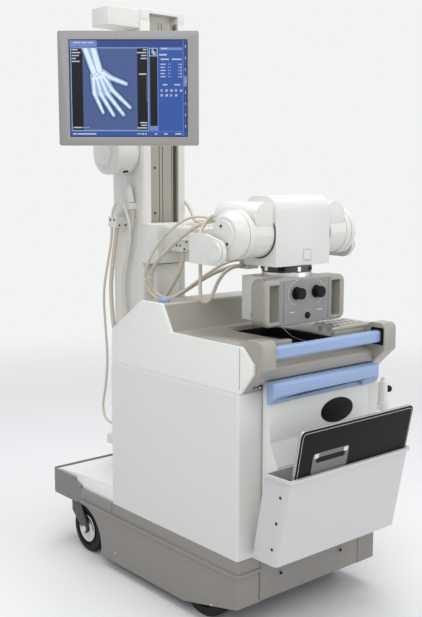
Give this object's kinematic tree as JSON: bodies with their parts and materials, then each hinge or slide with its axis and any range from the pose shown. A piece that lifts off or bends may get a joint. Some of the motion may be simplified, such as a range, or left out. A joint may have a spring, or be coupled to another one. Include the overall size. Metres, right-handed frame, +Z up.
{
  "type": "portable x-ray machine",
  "caption": "Mobile ward x-ray machine: wheeled base and cabinet, swivelling column, telescopic arm with tube head and collimator, monitor, tilting door with bin.",
  "frame": {"origin": "on the floor, at the centre of the machine's outline seen from above", "axes": "+Z up; +Y from the handle side towards the column side; +X to the operator's right when standing at the handles and facing the column"},
  "size_m": [0.8978, 1.2797, 2],
  "materials": {
    "white_cover": "satin white paint",
    "white_plastic": "satin white plastic",
    "grey_skirt": "satin grey-taupe paint",
    "grey_console": "satin grey-taupe plastic",
    "dark_bumper": "dark moulded rubber",
    "blue_handle": "satin light blue plastic",
    "black_plastic": "black plastic",
    "tyre_black": "black tread on grey hub",
    "steel_frame": "black painted steel",
    "rail_aluminium": "anodised aluminium",
    "screen_glass": "lit display panel",
    "monitor_grey": "silver-grey plastic",
    "battery_case": "sealed battery case",
    "detector_black": "black panel in a silver frame",
    "cable_tan": "tan cable sheath"
  },
  "bodies": {
    "base": {"base_skirt": "grey_skirt", "bead_moulding": "grey_skirt", "kick_panel": "grey_skirt", "base_frame": "steel_frame", "drive_motor_left": "steel_frame", "drive_motor_right": "steel_frame", "end_bumper": "dark_bumper", "deck_hood": "white_plastic", "column_turret": "white_cover", "cabinet_shell": "white_cover", "battery_pack": "battery_case", "cassette_well": "black_plastic", "side_cheek_left": "white_plastic", "side_cheek_right": "white_plastic", "console_top": "grey_console", "well_liner": "black_plastic", "keypad_box": "grey_console", "console_knob": "blue_handle", "handle_bracket_left": "grey_console", "handle_bracket_right": "grey_console", "drive_bar": "blue_handle", "console_lip": "grey_console", "door_hinge_lugs": "steel_frame", "accessory_clamp": "white_cover"},
    "door": {"door_panel": "white_plastic", "door_handle": "blue_handle", "oval_plate": "black_plastic", "storage_bin": "white_plastic", "image_detector": "detector_black"},
    "drive_wheel_left": {"drive_wheel_left": "tyre_black"},
    "drive_wheel_right": {"drive_wheel_right": "tyre_black"},
    "caster_fork_left": {"caster_fork_left": "steel_frame"},
    "caster_fork_right": {"caster_fork_right": "steel_frame"},
    "caster_wheel_left": {"caster_wheel_left": "tyre_black"},
    "caster_wheel_right": {"caster_wheel_right": "tyre_black"},
    "column": {"column_cover": "white_cover", "column_rail": "rail_aluminium", "column_cap": "white_plastic", "drum_housing": "white_plastic", "belt_cover": "white_plastic", "monitor_bracket": "white_cover", "column_cables": "cable_tan"},
    "carriage": {"carriage": "white_cover", "arm_outer": "white_cover", "lift_cables": "cable_tan"},
    "arm": {"arm_inner": "white_cover", "tube_cable_loop": "cable_tan", "tube_cable_thin": "cable_tan"},
    "yoke": {"tube_yoke": "white_cover", "head_cables": "cable_tan"},
    "tube_head": {"tube_housing": "white_cover", "tube_cover": "white_plastic", "cable_horns": "white_cover", "beam_port": "steel_frame"},
    "collimator": {"collimator_box": "white_cover", "collimator_bezel": "grey_console", "collimator_dials": "black_plastic"},
    "monitor_arm": {"monitor_arm": "white_cover"},
    "monitor": {"monitor_shell": "monitor_grey", "monitor_screen": "screen_glass"}
  },
  "joints": [
    {"name": "drive_wheel_left_spin", "type": "hinge", "parent": "base", "child": "drive_wheel_left", "pos_m": [-0.20313, -0.248, 0.125], "axis": [1, 0, 0], "continuous": true},
    {"name": "caster_left_swivel", "type": "hinge", "parent": "base", "child": "caster_fork_left", "pos_m": [-0.21313, 0.477, 0.208], "axis": [0, 0, 1], "continuous": true},
    {"name": "caster_left_spin", "type": "hinge", "parent": "caster_fork_left", "child": "caster_wheel_left", "pos_m": [-0.21313, 0.432, 0.09], "axis": [1, 0, 0], "continuous": true},
    {"name": "drive_wheel_right_spin", "type": "hinge", "parent": "base", "child": "drive_wheel_right", "pos_m": [0.32087, -0.248, 0.125], "axis": [1, 0, 0], "continuous": true},
    {"name": "caster_right_swivel", "type": "hinge", "parent": "base", "child": "caster_fork_right", "pos_m": [0.33087, 0.477, 0.208], "axis": [0, 0, 1], "continuous": true},
    {"name": "caster_right_spin", "type": "hinge", "parent": "caster_fork_right", "child": "caster_wheel_right", "pos_m": [0.33087, 0.432, 0.09], "axis": [1, 0, 0], "continuous": true},
    {"name": "cassette_door_tilt", "type": "hinge", "parent": "base", "child": "door", "pos_m": [0.05887, -0.473, 0.27], "axis": [1, 0, 0], "range_deg": [0, 18]},
    {"name": "column_swivel", "type": "hinge", "parent": "base", "child": "column", "pos_m": [0.05887, 0.414, 0.332], "axis": [0, 0, 1], "range_deg": [-270, 270]},
    {"name": "carriage_lift", "type": "slide", "parent": "column", "child": "carriage", "axis": [0, 0, 1], "range_m": [0, 0.62], "deforming": ["lift_cables"]},
    {"name": "arm_reach", "type": "slide", "parent": "carriage", "child": "arm", "axis": [0, -1, 0], "range_m": [0, 0.27], "deforming": ["tube_cable_loop", "tube_cable_thin"]},
    {"name": "tube_roll", "type": "hinge", "parent": "arm", "child": "yoke", "pos_m": [0.05887, -0.192, 1.186], "axis": [0, 1, 0], "range_deg": [-180, 180], "deforming": ["head_cables"]},
    {"name": "tube_tilt", "type": "hinge", "parent": "yoke", "child": "tube_head", "pos_m": [0.05887, -0.313, 1.18], "axis": [-1, 0, 0], "range_deg": [-15, 25], "deforming": ["head_cables"]},
    {"name": "collimator_turn", "type": "hinge", "parent": "tube_head", "child": "collimator", "pos_m": [0.05887, -0.327, 1.108], "axis": [0, 0, 1], "range_deg": [-90, 90]},
    {"name": "monitor_arm_swing", "type": "hinge", "parent": "column", "child": "monitor_arm", "pos_m": [-0.14613, 0.412, 1.687], "axis": [0, 0, 1], "range_deg": [-70, 5]},
    {"name": "monitor_tilt", "type": "hinge", "parent": "monitor_arm", "child": "monitor", "pos_m": [-0.21506, 0.13577, 1.687], "axis": [0.766, -0.6428, 0], "range_deg": [-15, 25]}
  ]
}
